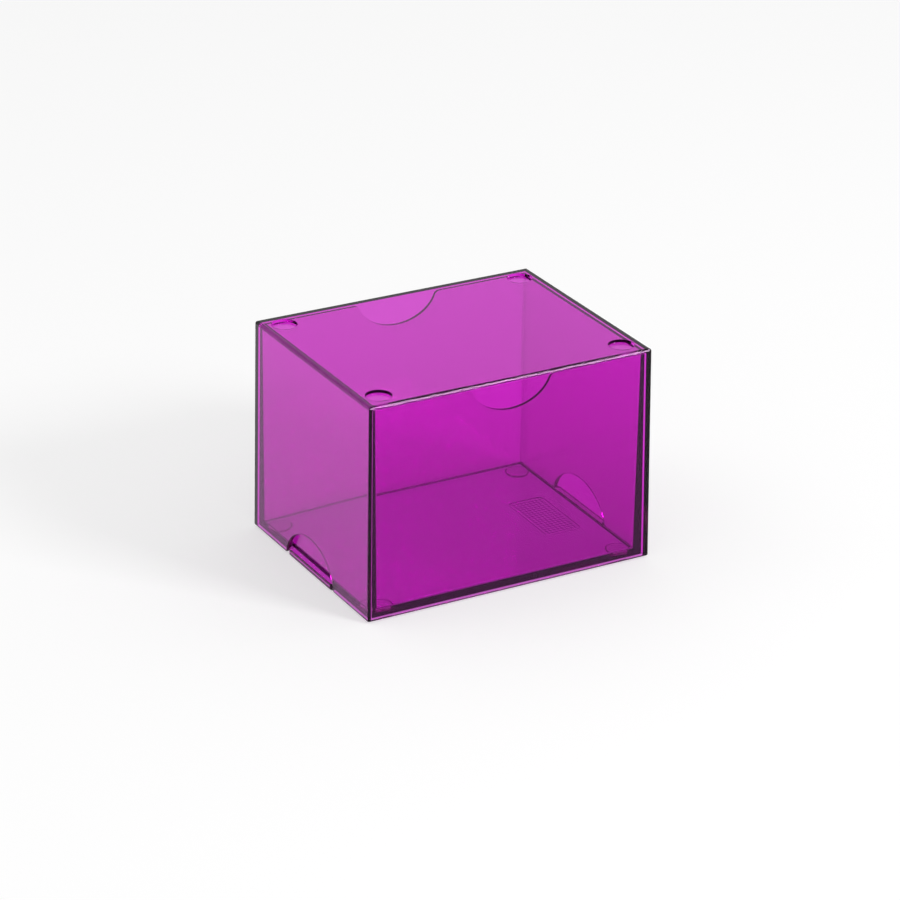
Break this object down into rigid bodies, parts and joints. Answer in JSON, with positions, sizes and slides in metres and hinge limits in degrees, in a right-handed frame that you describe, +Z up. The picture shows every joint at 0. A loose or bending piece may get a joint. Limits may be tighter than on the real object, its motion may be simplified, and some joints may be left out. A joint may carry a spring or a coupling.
{
  "type": "card deck box",
  "caption": "Clear tinted two-part card box: an open tray with thumb notches inside a drop-over cover with side arches and stacking recesses.",
  "frame": {"origin": "middle of the box's footprint, on the plane the tray's feet stand on", "axes": "+Z up through the cover's top, X along the long side with the thumb notches, Y along the short side with the arches"},
  "size_m": [0.102, 0.0802, 0.0726],
  "materials": {
    "tray_plastic": "clear magenta tinted moulded plastic, polished, slightly duller inside",
    "cover_plastic": "clear magenta tinted moulded plastic, polished"
  },
  "bodies": {
    "tray": {"tray": "tray_plastic"},
    "cover": {"cover": "cover_plastic"}
  },
  "joints": [
    {"name": "cover_lift", "type": "slide", "parent": "tray", "child": "cover", "axis": [0, 0, 1], "range_m": [0, 0.075]}
  ]
}
